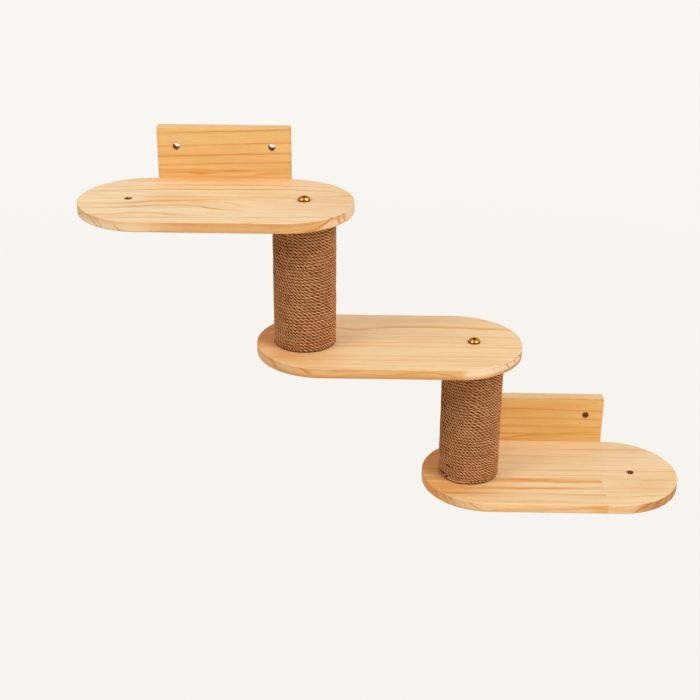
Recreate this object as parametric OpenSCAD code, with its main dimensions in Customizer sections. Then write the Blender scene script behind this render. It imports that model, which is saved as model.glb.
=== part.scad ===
// Wall-mounted cat ladder. Three round-ended pine shelves step down to the right and hang
// together on two rope-wound posts. A drilled board behind the top shelf and one behind the
// bottom shelf take the wall screws. All sizes are in millimetres. The origin lies on the
// wall, midway between the top board's two holes: +X runs right along the wall, +Y runs
// into the wall and +Z is up.

/* [Shelves] */
// Length of each shelf over its round ends
shelf_len = 380; // [370:5:440]
// Depth of each shelf from its front edge to its rear edge
shelf_depth = 190; // [170:2:200]
// Thickness of the shelf boards
shelf_thick = 15; // [12:0.5:20]
// Rounding of the edges of the shelves
shelf_edge_r = 1.5; // [0.5:0.25:3]
// Distance of each bolt hole from the middle of its shelf, half the sideways step
bolt_offset = 121; // [110:1:130]

/* [Wall boards] */
// Width of each wall board
board_w = 190; // [176:2:220]
// Height of each wall board above the top face of its shelf
board_rise = 74; // [62:1:110]
// Thickness of the wall boards
board_thick = 18; // [15:0.5:24]
// Rounding of the corners of the wall boards, seen from the front
board_corner_r = 2; // [1.5:0.5:6]
// Rounding of the edges of the wall boards
board_edge_r = 1.2; // [0.5:0.1:1.5]
// Distance between the two wall holes of a board
wall_hole_gap = 136; // [110:2:150]
// Height of the wall holes above the top face of the shelf
wall_hole_rise = 46; // [30:1:50]
// Diameter of the wall holes
wall_hole_d = 10; // [6:0.5:12]
// How far the top board stands to the right of the middle of its shelf
top_board_shift = 2.5; // [-8:0.5:8]
// How far the bottom board stands to the right of the middle of its shelf
bottom_board_shift = -4; // [-8:0.5:8]

/* [Board screws] */
// Distance between neighbouring screws that hold a board to its shelf
board_screw_step = 70; // [50:2:74]
// Diameter of the shank of these screws
board_screw_d = 4; // [3:0.5:5]
// Diameter of their countersunk heads
board_screw_head_d = 8; // [7:0.5:10]
// How deep they bite into the rear edge of the shelf
board_screw_bite = 22; // [15:1:35]
// How far their heads lie below the rear face of the board
board_screw_sink = 0.4; // [0.2:0.1:1]

/* [Posts] */
// Length of each post, which sets the height of a step
post_len = 195; // [150:5:300]
// Outer diameter of each post over its rope
post_d = 90; // [80:1:98]
// Thickness of the rope
rope_d = 4.7; // [4:0.1:6]
// Wall of the cardboard tube that the rope is wound on
tube_wall = 2.5; // [2:0.1:4]
// Thickness of the plywood plug in each end of a tube
plug_thick = 18; // [15:1:24]

/* [Rope winding] */
// Most turns that are drawn on one post, where the real rope has more and finer ones
most_turns = 24; // [12:1:24]
// Gap between one drawn turn and the next
turn_gap = 0.6; // [0.5:0.1:1]
// Place of the lower end of the upper post's rope, in degrees round the post
upper_rope_angle = 150; // [0:5:360]
// Place of the lower end of the lower post's rope, in degrees round the post
lower_rope_angle = 222; // [0:1:360]

/* [Bolts and T-nuts] */
// Thread diameter of the bolts
bolt_d = 8; // [6:0.5:9]
// Diameter of the heads of the bolts
bolt_head_d = 17; // [16:0.5:20]
// Height of the bolt heads at their middle
bolt_head_h = 5.4; // [4:0.2:6]
// Height of the straight side of the bolt heads
bolt_head_side = 2.6; // [1.4:0.2:2.6]
// Width across the cross recess in the bolt heads
recess_span = 7.6; // [6:0.2:9]
// Width of each slot of the cross recess
recess_w = 2.4; // [1.6:0.1:2.6]
// Depth of the cross recess below the top of the head
recess_depth = 3; // [1.6:0.1:3.2]
// Clearance between a bolt and the hole through its shelf, on each side
bolt_play = 1.5; // [0.5:0.1:2]
// Length of bolt that comes out past the T-nut
bolt_tip = 0.5; // [0.2:0.1:4]
// Wall of the barrel of the T-nuts
nut_wall = 0.9; // [0.7:0.1:1.5]
// Length of the barrel of the T-nuts
nut_barrel_len = 11; // [8:0.5:13]
// Diameter of the flange of the T-nuts
nut_flange_d = 22; // [20:0.5:28]
// Thickness of the flange of the T-nuts
nut_flange_thick = 1.5; // [1:0.1:2]
// Length of the prongs of the T-nuts
prong_len = 5; // [3:0.5:7]
// Width of each prong at its root
prong_w = 3; // [2:0.5:4]

/* [Staples] */
// Staples that hold each plug in its tube
staples_per_plug = 3; // [2:1:5]
// Width of a staple over its crown
staple_crown = 10; // [8:0.5:12]
// Length of the legs of a staple
staple_leg = 10; // [8:0.5:14]
// Thickness of the staple wire
staple_wire = 0.9; // [0.7:0.1:1]

/* [Clearances] */
// Gap between a plug and its tube, on each side
plug_gap = 0.15; // [0.1:0.05:0.3]
// Gap round screws, prongs and staples in wood and card
seat_gap = 0.05; // [0.05:0.01:0.1]
// Gap between a bolt and the thread of its T-nut, which is left plain
thread_gap = 0.1; // [0.05:0.05:0.2]
// Gap between the rope and the tube, and between the rope and the shelves
rope_gap = 0.1; // [0.05:0.05:0.3]

/* [Hidden] */
$fn = 96;
// A cut runs this far past the faces that it leaves
over = 1;
// Steps in each quarter round of an edge
arc_steps = 4;

board_h = board_rise + shelf_thick;
shelf_mid_y = -board_thick - shelf_depth / 2;
step_x = 2 * bolt_offset;
step_z = post_len + shelf_thick;
bolt_hole_d = bolt_d + 2 * bolt_play;
bolt_len = shelf_thick + plug_thick + nut_flange_thick + bolt_tip;
nut_bore_d = bolt_d + 2 * thread_gap;
nut_barrel_d = nut_bore_d + 2 * nut_wall;
tube_d = post_d - 2 * rope_d;
tube_bore_d = tube_d - 2 * tube_wall;
plug_d = tube_bore_d - 2 * plug_gap;
// The flat crown of a staple lies this far under the round surface of the tube at its middle
crown_sink = tube_d / 2 - sqrt(pow(tube_d / 2, 2) - pow(staple_crown / 2, 2)) + seat_gap;
crown_r = tube_d / 2 - crown_sink;
// Prongs stand this far inside the rim of the flange
prong_inset = 0.5;

// The rope lies in flat courses. Once a turn, between these shares of the turn, it climbs
// to the next course, so the first and the last course lie flat against the shelves.
rings_per_turn = 15;
rope_sides = 6;
climb_start = 11 / rings_per_turn;
climb_end = 14 / rings_per_turn;
turns = min(most_turns, floor(post_len / rope_d));
turn_pitch = (post_len - 2 * rope_gap + turn_gap) / turns;
turn_h = turn_pitch - turn_gap;
last_ring = round((turns - 1 + climb_start) * rings_per_turn);
// The inner ridge of the rope clears the tube halfway between two rings as well
rope_in_r = (tube_d / 2 + rope_gap) / cos(180 / rings_per_turn);
rope_mid_r = (post_d / 2 + rope_in_r) / 2;
rope_half_w = (post_d / 2 - rope_in_r) / 2;
rope_half_h = turn_h / 2 / sin(60);

// Middle of shelf number k, counted from the top, and the height of its top face
function shelf_x(k) = -top_board_shift + k * step_x;
function shelf_top(k) = -wall_hole_rise - k * step_z;

function arc(x, y, r, from) =
    [for (i = [0 : arc_steps]) let (a = from + 90 * i / arc_steps) [x + r * cos(a), y + r * sin(a)]];

// A rectangle with rounded corners about the origin, and the half of it where x > 0
function round_half(w, h, r) = concat(
    [[0, -h / 2]], arc(w / 2 - r, r - h / 2, r, 270), arc(w / 2 - r, h / 2 - r, r, 0), [[0, h / 2]]
);
function round_rect(w, h, r) = concat(
    arc(w / 2 - r, r - h / 2, r, 270), arc(w / 2 - r, h / 2 - r, r, 0),
    arc(r - w / 2, h / 2 - r, r, 90), arc(r - w / 2, r - h / 2, r, 180)
);

// A shelf board about its own middle: a straight stretch with a half round at each end
module shelf_board() {
    straight = shelf_len - shelf_depth;
    rotate([90, 0, 90])
        linear_extrude(straight, center = true)
            polygon(round_rect(shelf_depth, shelf_thick, shelf_edge_r));
    for (side = [-1, 1])
        translate([side * straight / 2, 0, 0])
            rotate([0, 0, -90 * side])
                rotate_extrude(angle = 180)
                    polygon(round_half(shelf_depth, shelf_thick, shelf_edge_r));
}

// Shelf number k in its place, with its two bolt holes
module shelf(k) {
    translate([shelf_x(k), shelf_mid_y, shelf_top(k) - shelf_thick / 2])
        difference() {
            shelf_board();
            for (side = [-1, 1])
                translate([side * bolt_offset, 0, 0])
                    cylinder(d = bolt_hole_d, h = shelf_thick + 2 * over, center = true);
        }
}

// Puts its children at the three screws between board and shelf number k, on the wall
// plane, with their +Z pointing out of the board towards the wall
module at_board_screws(k, shift) {
    for (i = [-1 : 1])
        translate([shelf_x(k) + shift + i * board_screw_step, 0, shelf_top(k) - shelf_thick / 2])
            rotate([-90, 0, 0])
                children();
}

// A countersunk wood screw, or the hole that takes it: room widens it all round, and
// mouth opens its head end
module wood_screw(room = 0, mouth = 0) {
    top = -board_screw_sink;
    head_r = board_screw_head_d / 2 + room;
    shank_r = board_screw_d / 2 + room;
    cone_h = head_r - shank_r;
    end = -board_thick - board_screw_bite - room;
    rotate_extrude()
        polygon([
            [0, top + mouth], [head_r, top + mouth], [head_r, top], [shank_r, top - cone_h],
            [shank_r, end + board_screw_d], [shank_r / 4, end], [0, end]
        ]);
}

// One board screw with the cross recess in its head
module board_screw() {
    recess = board_screw_head_d / 2;
    difference() {
        wood_screw();
        for (turn = [0, 90])
            rotate([0, 0, turn])
                translate([0, 0, -board_screw_sink])
                    cube([recess, recess / 5, recess], center = true);
    }
}

module board_screws(k, shift) {
    at_board_screws(k, shift) board_screw();
}

// Shelf number k with the pilot holes for its board's screws in its rear edge
module shelf_with_board(k, shift) {
    difference() {
        shelf(k);
        at_board_screws(k, shift) wood_screw(seat_gap);
    }
}

// A wall board: its outline from the front, from the side and from above, each with its own
// rounding, cut to one another
module wall_board(k, shift) {
    difference() {
        translate([shelf_x(k) + shift, -board_thick / 2, shelf_top(k) + board_rise - board_h / 2])
            intersection() {
                rotate([90, 0, 0])
                    linear_extrude(board_thick, center = true)
                        polygon(round_rect(board_w, board_h, board_corner_r));
                rotate([90, 0, 90])
                    linear_extrude(board_w, center = true)
                        polygon(round_rect(board_thick, board_h, board_edge_r));
                linear_extrude(board_h, center = true)
                    polygon(round_rect(board_w, board_thick, board_edge_r));
            }
        for (side = [-1, 1])
            translate([
                shelf_x(k) + shift + side * wall_hole_gap / 2,
                -board_thick / 2,
                shelf_top(k) + wall_hole_rise
            ])
                rotate([90, 0, 0])
                    cylinder(d = wall_hole_d, h = board_thick + 2 * over, center = true);
        at_board_screws(k, shift) wood_screw(seat_gap, over);
    }
}

// Puts its children on the axis of post number k, at its upper or its lower end, with
// their +Z pointing out of the post into the shelf
module at_post_end(k, upper) {
    translate([shelf_x(k) + bolt_offset, shelf_mid_y, upper ? shelf_top(k) - shelf_thick : shelf_top(k + 1)])
        mirror([0, 0, upper ? 0 : 1])
            children();
}

// One staple at its angle round the tube, or the slot that takes it: room widens it all
// round, and mouth opens its crown outwards
module staple(room = 0, mouth = 0) {
    depth = staple_wire + 2 * room;
    translate([crown_r - staple_wire - room, -staple_crown / 2 - room, -depth / 2])
        cube([depth + mouth, staple_crown + 2 * room, depth]);
    for (side = [-1, 1])
        translate([crown_r - staple_leg / 2, side * (staple_crown - staple_wire) / 2, 0])
            cube([staple_leg + 2 * room, depth, depth], center = true);
}

// Puts its children at the staples round one plug
module at_staples() {
    for (i = [0 : staples_per_plug - 1])
        rotate([0, 0, 360 * i / staples_per_plug])
            translate([0, 0, -plug_thick / 2])
                children();
}

module post_staples(k) {
    for (upper = [true, false])
        at_post_end(k, upper)
            at_staples()
                staple();
}

// The cardboard tube, which runs from shelf to shelf
module post_tube(k) {
    difference() {
        at_post_end(k, true)
            translate([0, 0, -post_len])
                difference() {
                    cylinder(d = tube_d, h = post_len);
                    translate([0, 0, -over])
                        cylinder(d = tube_bore_d, h = post_len + 2 * over);
                }
        for (upper = [true, false])
            at_post_end(k, upper)
                at_staples()
                    staple(seat_gap, crown_sink + over);
    }
}

// A plug with the hole for the T-nut's barrel, the seats of its prongs and the staples' holes
module end_plug(k, upper) {
    at_post_end(k, upper)
        difference() {
            translate([0, 0, -plug_thick])
                cylinder(d = plug_d, h = plug_thick);
            translate([0, 0, -plug_thick - over])
                cylinder(d = nut_barrel_d + 2 * seat_gap, h = plug_thick + 2 * over);
            at_prongs()
                translate([0, 0, (prong_len + seat_gap - over) / 2])
                    cube([nut_flange_thick + 2 * seat_gap, prong_w + 2 * seat_gap, prong_len + seat_gap + over],
                        center = true);
            at_staples()
                staple(seat_gap);
        }
}

// Puts its children at the four prongs, on the face of the flange that meets the plug
module at_prongs() {
    for (turn = [45 : 90 : 315])
        rotate([0, 0, turn])
            translate([nut_flange_d / 2 - prong_inset - nut_flange_thick / 2, 0, -plug_thick])
                children();
}

// A T-nut: its flange lies against the inner face of the plug, its barrel stands in the plug
// and its four pointed prongs are driven in
module t_nut(k, upper) {
    at_post_end(k, upper) {
        difference() {
            union() {
                translate([0, 0, -plug_thick - nut_flange_thick])
                    cylinder(d = nut_flange_d, h = nut_flange_thick);
                translate([0, 0, -plug_thick - nut_flange_thick])
                    cylinder(d = nut_barrel_d, h = nut_barrel_len + nut_flange_thick);
            }
            translate([0, 0, -plug_thick - nut_flange_thick - over])
                cylinder(d = nut_bore_d, h = nut_barrel_len + nut_flange_thick + 2 * over);
        }
        at_prongs()
            rotate([90, 0, 90])
                linear_extrude(nut_flange_thick, center = true)
                    polygon([
                        [-prong_w / 2, -nut_flange_thick], [prong_w / 2, -nut_flange_thick],
                        [prong_w / 2, 0], [0, prong_len], [-prong_w / 2, 0]
                    ]);
    }
}

// A bolt: head with a cross recess on the far face of the shelf, shank through the shelf
// and the plug into the T-nut. The head is a cylinder whose shoulder is part of one ball and
// whose shallow crown is part of a larger one.
module bolt(k, upper) {
    head_r = bolt_head_d / 2;
    shoulder_r = 1.12 * head_r;
    crown_r = 4 * head_r;
    at_post_end(k, upper)
        translate([0, 0, shelf_thick]) {
            difference() {
                intersection() {
                    cylinder(r = head_r, h = bolt_head_h + over);
                    translate([0, 0, bolt_head_side - sqrt(pow(shoulder_r, 2) - pow(head_r, 2))])
                        sphere(r = shoulder_r);
                    translate([0, 0, bolt_head_h - crown_r])
                        sphere(r = crown_r);
                }
                for (turn = [0, 90])
                    rotate([0, 0, turn])
                        translate([0, 0, bolt_head_h])
                            cube([recess_span, recess_w, 2 * recess_depth], center = true);
            }
            translate([0, 0, -bolt_len])
                cylinder(d = bolt_d, h = bolt_len + bolt_head_side / 2);
        }
}

// Height of the middle of the rope after u turns, above the middle of the lowest course
function rope_rise(u) = let (
    course = floor(u + 0.001),
    share = (u - course - climb_start) / (climb_end - climb_start)
) turn_pitch * (course + max(0, min(1, share)));

// Section of the rope as ring number i of the winding
function rope_ring(i) = let (
    u = i / rings_per_turn,
    z = rope_gap + turn_h / 2 + rope_rise(u)
) [for (j = [0 : rope_sides - 1]) let (
    a = 360 * j / rope_sides,
    r = rope_mid_r + rope_half_w * cos(a)
) [r * cos(360 * u), r * sin(360 * u), z + rope_half_h * sin(a)]];

// The same ring moved along the rope, for the straight end
function moved_ring(i, by) = let (a = 360 * i / rings_per_turn)
    [for (p = rope_ring(i)) p + by * [-sin(a), cos(a), 0]];

function rope_rings() = concat(
    [moved_ring(0, -rope_d)],
    [for (i = [0 : last_ring]) rope_ring(i)],
    [moved_ring(last_ring, rope_d)]
);

// Least distance between the points of each ring and those of the rings a turn away
function least_gap(rings) = min([
    for (i = [0 : len(rings) - 1])
        for (m = [i + rings_per_turn - 2 : i + rings_per_turn + 2])
            if (m < len(rings))
                for (p = rings[i])
                    for (q = rings[m])
                        norm(p - q)
]);

// One unbroken tube wound round the post, its two ends running straight
module rope_winding(turned) {
    rings = rope_rings();
    last = len(rings) - 1;
    echo(str("rope: ", turns, " turns, least gap between turns ", least_gap(rings), " mm"));
    side_faces = [
        for (i = [0 : last - 1])
            for (j = [0 : rope_sides - 1]) let (
                a = i * rope_sides + j,
                b = i * rope_sides + (j + 1) % rope_sides
            ) each [[a, b, b + rope_sides], [a, b + rope_sides, a + rope_sides]]
    ];
    end_faces = [
        for (j = [1 : rope_sides - 2]) let (e = last * rope_sides)
            each [[0, j + 1, j], [e, e + j, e + j + 1]]
    ];
    rotate([0, 0, turned])
        polyhedron([for (r = rings) each r], concat(side_faces, end_faces));
}

module post_rope(k, turned) {
    at_post_end(k, true)
        translate([0, 0, -post_len])
            rope_winding(turned);
}

module top_shelf() {
    color("#f2d3a2") shelf_with_board(0, top_board_shift);
}
module middle_shelf() {
    color("#f2d3a2") shelf(1);
}
module bottom_shelf() {
    color("#f2d3a2") shelf_with_board(2, bottom_board_shift);
}
module top_wall_board() {
    color("#e9b06b") wall_board(0, top_board_shift);
}
module bottom_wall_board() {
    color("#e9b06b") wall_board(2, bottom_board_shift);
}
module top_board_screws() {
    color("#c9a24a") board_screws(0, top_board_shift);
}
module bottom_board_screws() {
    color("#c9a24a") board_screws(2, bottom_board_shift);
}
module upper_post_tube() {
    color("#b59468") post_tube(0);
}
module lower_post_tube() {
    color("#b59468") post_tube(1);
}
module upper_post_rope() {
    color("#a0724a") post_rope(0, upper_rope_angle);
}
module lower_post_rope() {
    color("#a0724a") post_rope(1, lower_rope_angle);
}
module upper_post_staples() {
    color("#b8b8b8") post_staples(0);
}
module lower_post_staples() {
    color("#b8b8b8") post_staples(1);
}
module post_plug(k, upper) {
    color("#cfa873") end_plug(k, upper);
}
module post_nut(k, upper) {
    color("#a9abad") t_nut(k, upper);
}
module post_bolt(k, upper) {
    color("#d2a440") bolt(k, upper);
}

top_shelf();
middle_shelf();
bottom_shelf();
top_wall_board();
bottom_wall_board();
top_board_screws();
bottom_board_screws();
upper_post_tube();
upper_post_rope();
upper_post_staples();
post_plug(0, true);  // upper_post_top_plug
post_nut(0, true);  // upper_post_top_nut
post_bolt(0, true);  // upper_post_top_bolt
post_plug(0, false);  // upper_post_bottom_plug
post_nut(0, false);  // upper_post_bottom_nut
post_bolt(0, false);  // upper_post_bottom_bolt
lower_post_tube();
lower_post_rope();
lower_post_staples();
post_plug(1, true);  // lower_post_top_plug
post_nut(1, true);  // lower_post_top_nut
post_bolt(1, true);  // lower_post_top_bolt
post_plug(1, false);  // lower_post_bottom_plug
post_nut(1, false);  // lower_post_bottom_nut
post_bolt(1, false);  // lower_post_bottom_bolt
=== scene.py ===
# %% [markdown]
# # Wall-mounted cat ladder
#
# Three round-ended pine shelves step down to the right on two posts wound with laid
# rope, and a drilled pine board stands behind the top and the bottom shelf. The joinery
# comes from the frame, at its real size and place. This lesson adds the looks: pine
# with its growth lines, real rope, brass, and a studio to see them in. Nothing on the
# ladder moves, so every new piece rides on the one body, "root".
#
# Lengths are in metres unless a name ends in _mm.

# %% Load the frame
import math

import bpy
import numpy as np
from mathutils import Matrix, Vector


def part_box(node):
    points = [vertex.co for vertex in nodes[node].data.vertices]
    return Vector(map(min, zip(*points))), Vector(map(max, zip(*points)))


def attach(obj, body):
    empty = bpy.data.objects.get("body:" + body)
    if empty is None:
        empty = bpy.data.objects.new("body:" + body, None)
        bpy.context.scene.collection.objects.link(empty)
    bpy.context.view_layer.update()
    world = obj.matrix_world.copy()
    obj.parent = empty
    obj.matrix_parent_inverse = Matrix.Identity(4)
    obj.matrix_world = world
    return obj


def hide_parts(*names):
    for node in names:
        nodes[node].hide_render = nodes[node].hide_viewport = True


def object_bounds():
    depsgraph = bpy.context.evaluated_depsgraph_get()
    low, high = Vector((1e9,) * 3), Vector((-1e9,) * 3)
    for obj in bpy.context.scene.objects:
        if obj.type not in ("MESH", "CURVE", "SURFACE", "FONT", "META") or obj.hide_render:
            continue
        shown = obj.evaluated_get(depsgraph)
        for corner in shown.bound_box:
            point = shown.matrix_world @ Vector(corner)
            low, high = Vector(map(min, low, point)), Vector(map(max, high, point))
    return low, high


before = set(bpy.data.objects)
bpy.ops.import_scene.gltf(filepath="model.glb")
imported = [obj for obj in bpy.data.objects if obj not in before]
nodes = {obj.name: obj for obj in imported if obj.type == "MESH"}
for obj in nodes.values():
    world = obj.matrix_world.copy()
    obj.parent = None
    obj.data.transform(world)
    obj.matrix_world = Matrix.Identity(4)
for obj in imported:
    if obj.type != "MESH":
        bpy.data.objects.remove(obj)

MM = 0.001
cad_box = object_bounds()
print("nodes:", len(nodes), "box:", [round(v, 4) for corner in cad_box for v in corner])

# %% [markdown]
# ## The camera
#
# The photograph was taken with a long lens from above and in front. Its place and its
# lens were worked out from the shelves' outlines, so the camera stands where the
# photographer's did, about 1.9 m in front of the wall and 0.6 m above the top board's
# holes. It looks 25 degrees down. A camera that was aimed at the object by eye would be
# quicker to make, but its perspective would never quite agree with the shelves' ends.

# %% Make the camera
CAMERA_PLACE = Vector((0.20937, -1.89978, 0.55665))
CAMERA_LENS_MM = 70.385
CAMERA_SENSOR_MM = 36.0
LOOKING_RIGHT = math.radians(-0.854)
LOOKING_DOWN = math.radians(24.849)
TILTED = math.radians(0.430)

lens = bpy.data.cameras.new("photo_camera")
lens.lens = CAMERA_LENS_MM
lens.sensor_width = CAMERA_SENSOR_MM
lens.clip_end = 60
camera = bpy.data.objects.new("photo_camera", lens)
bpy.context.scene.collection.objects.link(camera)
camera.matrix_world = (
    Matrix.Translation(CAMERA_PLACE)
    @ Matrix.Rotation(-LOOKING_RIGHT, 4, "Z")
    @ Matrix.Rotation(math.pi / 2 - LOOKING_DOWN, 4, "X")
    @ Matrix.Rotation(TILTED, 4, "Z")
)
bpy.context.scene.camera = camera
print("camera at", [round(v, 3) for v in camera.location], "with a lens of", lens.lens, "mm")

# %% [markdown]
# ## A way to write materials
#
# A material is a net of nodes, and a long list of node and link calls hides what it
# computes. Here an output of a node is wrapped in a small class, Wire, whose operators
# add the Math nodes, so `1 - groove * 0.4` is written as it is thought. Finish holds
# one material and has one method, node, for every other kind of node: its type, its
# settings, and what goes into its sockets. Settings are set first, because a node's
# sockets may change with them.

# %% Wire: a node's output that can be calculated with
class Wire:
    """An output of a node. Operators on it add Math or Vector Math nodes."""

    def __init__(self, finish, socket):
        self.finish = finish
        self.socket = socket

    def out(self, name):
        """Another output of the same node."""
        return Wire(self.finish, self.socket.node.outputs[name])

    def _maths(self, operation, *terms):
        wires = [t for t in terms if isinstance(t, Wire)]
        vector = any(t.socket.type == "VECTOR" for t in wires)
        kind = "ShaderNodeVectorMath" if vector else "ShaderNodeMath"
        return self.finish.node(kind, {"operation": operation}, dict(enumerate(terms)))

    def __add__(self, other):
        return self._maths("ADD", self, other)

    def __radd__(self, other):
        return self._maths("ADD", other, self)

    def __sub__(self, other):
        return self._maths("SUBTRACT", self, other)

    def __rsub__(self, other):
        return self._maths("SUBTRACT", other, self)

    def __mul__(self, other):
        return self._maths("MULTIPLY", self, other)

    def __rmul__(self, other):
        return self._maths("MULTIPLY", other, self)

    def __truediv__(self, other):
        return self._maths("DIVIDE", self, other)

    def __rtruediv__(self, other):
        return self._maths("DIVIDE", other, self)

    def __pow__(self, other):
        return self._maths("POWER", self, other)

    def __abs__(self):
        return self._maths("ABSOLUTE", self)

    def part(self):
        """What is left of a number without its whole part."""
        return self._maths("FRACT", self)

    def whole(self):
        """The whole part of a number."""
        return self._maths("FLOOR", self)

    def exp(self):
        """e to the power of a number."""
        return self._maths("EXPONENT", self)

    def at_most(self, other):
        return self._maths("MINIMUM", self, other)

    def at_least(self, other):
        return self._maths("MAXIMUM", self, other)

    def between(self, start, end, to_start=0.0, to_end=1.0):
        """Rises smoothly from to_start to to_end as the number goes from start to end."""
        settings = {"interpolation_type": "SMOOTHSTEP"}
        sockets = {0: self, 1: start, 2: end, 3: to_start, 4: to_end}
        return self.finish.node("ShaderNodeMapRange", settings, sockets)


# %% Finish: a material and the one way to add nodes to it
class Finish:
    """A material that is being made."""

    def __init__(self, name, roughness=0.5, **fixed):
        self.material = bpy.data.materials.new(name)
        self.material.use_nodes = True
        self.tree = self.material.node_tree
        self.shader = self.tree.nodes["Principled BSDF"]
        self.shader.inputs["Roughness"].default_value = roughness
        for socket, value in fixed.items():
            self.shader.inputs[socket.replace("_", " ")].default_value = value

    def node(self, kind, settings=None, sockets=None):
        """Adds a node, sets it up, feeds its sockets and gives back its first live output."""
        new = self.tree.nodes.new(kind)
        for name, value in (settings or {}).items():
            if name == "stops":
                self._set_stops(new.color_ramp, value)
            elif name == "interpolation":
                new.color_ramp.interpolation = value
            else:
                setattr(new, name, value)
        for name, value in (sockets or {}).items():
            self.feed(new.inputs[name], value)
        return Wire(self, next(s for s in new.outputs if s.enabled))

    @staticmethod
    def _set_stops(ramp, stops):
        while len(ramp.elements) < len(stops):
            ramp.elements.new(1.0)
        for element, (place, grey, alpha) in zip(ramp.elements, stops):
            element.position = place
            element.color = (grey, grey, grey, alpha)

    def feed(self, socket, value):
        """Links a wire to a socket, or sets the socket's own value."""
        if isinstance(value, Wire):
            self.tree.links.new(value.socket, socket)
        elif socket.type == "VECTOR" and isinstance(value, (int, float)):
            socket.default_value = (value, value, value)
        elif socket.type == "RGBA" and len(value) == 3:
            socket.default_value = (*value, 1)
        else:
            socket.default_value = value

    def surface(self, **sockets):
        """Feeds the surface shader: surface(Base_Color=..., Roughness=...)."""
        for name, value in sockets.items():
            self.feed(self.shader.inputs[name.replace("_", " ")], value)

    def vector(self, x, y, z):
        """Three numbers joined into a vector."""
        return self.node("ShaderNodeCombineXYZ", None, {0: x, 1: y, 2: z})

    def split(self, vector):
        """A vector's three numbers."""
        xyz = self.node("ShaderNodeSeparateXYZ", None, {0: vector})
        return xyz.out(0), xyz.out(1), xyz.out(2)

    def place(self):
        """A point's place in the object, in metres."""
        return self.node("ShaderNodeTexCoord").out("Object")

    def noise(self, place, detail=2.0):
        """Cloudy noise from 0 to 1, mostly between 0.3 and 0.7. Its cells are 1 unit of place wide."""
        return self.node("ShaderNodeTexNoise", None, {"Vector": place, "Scale": 1.0, "Detail": detail})

    def mix(self, first, second, share, blend="MIX"):
        """A colour between two colours, or their product with blend MULTIPLY."""
        settings = {"data_type": "RGBA", "blend_type": blend}
        return self.node("ShaderNodeMix", settings, {0: share, 6: first, 7: second})

    def bumps(self, height, distance, strength=1.0):
        """A normal from a height in units of distance."""
        sockets = {"Height": height, "Distance": distance, "Strength": strength}
        self.surface(Normal=self.node("ShaderNodeBump", None, sockets))


def colour(red, green, blue):
    """A screen colour, 0 to 255, as the linear numbers that shaders use."""
    return tuple(((c / 255 + 0.055) / 1.055) ** 2.4 if c > 10 else c / 3294.6 for c in (red, green, blue))


print("a screen colour of 200, 150, 100 is", [round(c, 3) for c in colour(200, 150, 100)])

# %% [markdown]
# ## Pine
#
# A tree adds a ring each year: pale, soft early wood that darkens slowly, then a thin,
# dark line of late wood with a sharp outer side. A sawn board shows these rings as
# lines along its length, as leaning stripes round its sawn ends, and as long flames
# where a line runs out on an edge. A picture wrapped round the board can't make these
# agree at the corners, so the pine here is solid: its colour is worked out from a
# point's place inside the board.
#
# The place is measured in millimetres: along the grain from the board's left end,
# across it, and into the board from its face. Noise that is stretched along the grain,
# in cells of so many millimetres, gives everything in wood that isn't quite even.

# %% A point's place in a board
class Board:
    """A point's place in one board, in mm, and how much its surface is sawn end, top or rim.

    across and into name the axis and the side that the ways across the grain and into the
    board start from, such as "y+" for the high side of Y. look is as pine says.
    """

    def __init__(self, finish, node, across, into, size_mm, look):
        self.finish = finish
        self.size_mm = size_mm
        self.look = look
        self.seed = look["seed"] * 37.0
        low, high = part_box(node)
        point = finish.split(finish.place())
        self.along, self.over, self.depth = (
            self._measured(low, high, point, start) for start in ("x-", across, into)
        )
        facing_x, _, facing_z = finish.split(finish.node("ShaderNodeNewGeometry").out("Normal"))
        self.sawn = abs(facing_x).between(0.25, 0.90)
        self.upward = facing_z.between(0.5, 0.9)
        self.rim = 1 - abs(facing_z).between(0.2, 0.9)

    @staticmethod
    def _measured(low, high, point, start):
        index = "xyz".index(start[0])
        way = point[index] / MM
        return high[index] / MM - way if start[1] == "+" else way - low[index] / MM

    def grain(self, along_mm, across_mm, detail=1.0):
        """Noise in cells of along_mm along the grain and across_mm across it."""
        over, depth = self.over / across_mm, self.depth / across_mm
        return self.finish.noise(self.finish.vector(self.along / along_mm + self.seed, over, depth), detail)


# %% [markdown]
# The ring coordinate is the way across, less a slope times the way in, since the rings
# cross the board at a slant. The bold lines of late wood are drawn one by one, each with
# a few points that say where it runs and how strong it is there, as read off the
# photograph with a ruler's accuracy. A ramp along the board holds a line: its grey is
# the way across and its alpha the strength. A line darkens slowly on one side and ends
# sharply on the other, as the rings do, and fine streaks break it up.

# %% The bold lines of late wood
def growth_line(board, ring, size_mm, fade_mm, *points):
    """How dark one line of late wood makes a place. Points are (mm along, mm across, strength)."""
    length, width = size_mm
    stops = [(u / length, v / width, strength) for u, v, strength in points]
    settings = {"stops": stops, "interpolation": "CARDINAL"}
    line = board.finish.node("ShaderNodeValToRGB", settings, {0: board.along / length})
    behind = line * width - ring
    lead_mm = 1.0 + fade_mm * 0.2
    return behind.between(fade_mm, 0.0) * behind.between(-lead_mm, 0.0) * line.out("Alpha")


def darkest(board, ring, size_mm, lines):
    """How dark the darkest of some lines makes a place."""
    dark = 0.0
    for line in lines:
        dark = growth_line(board, ring, size_mm, *line).at_least(dark)
    return dark


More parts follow.
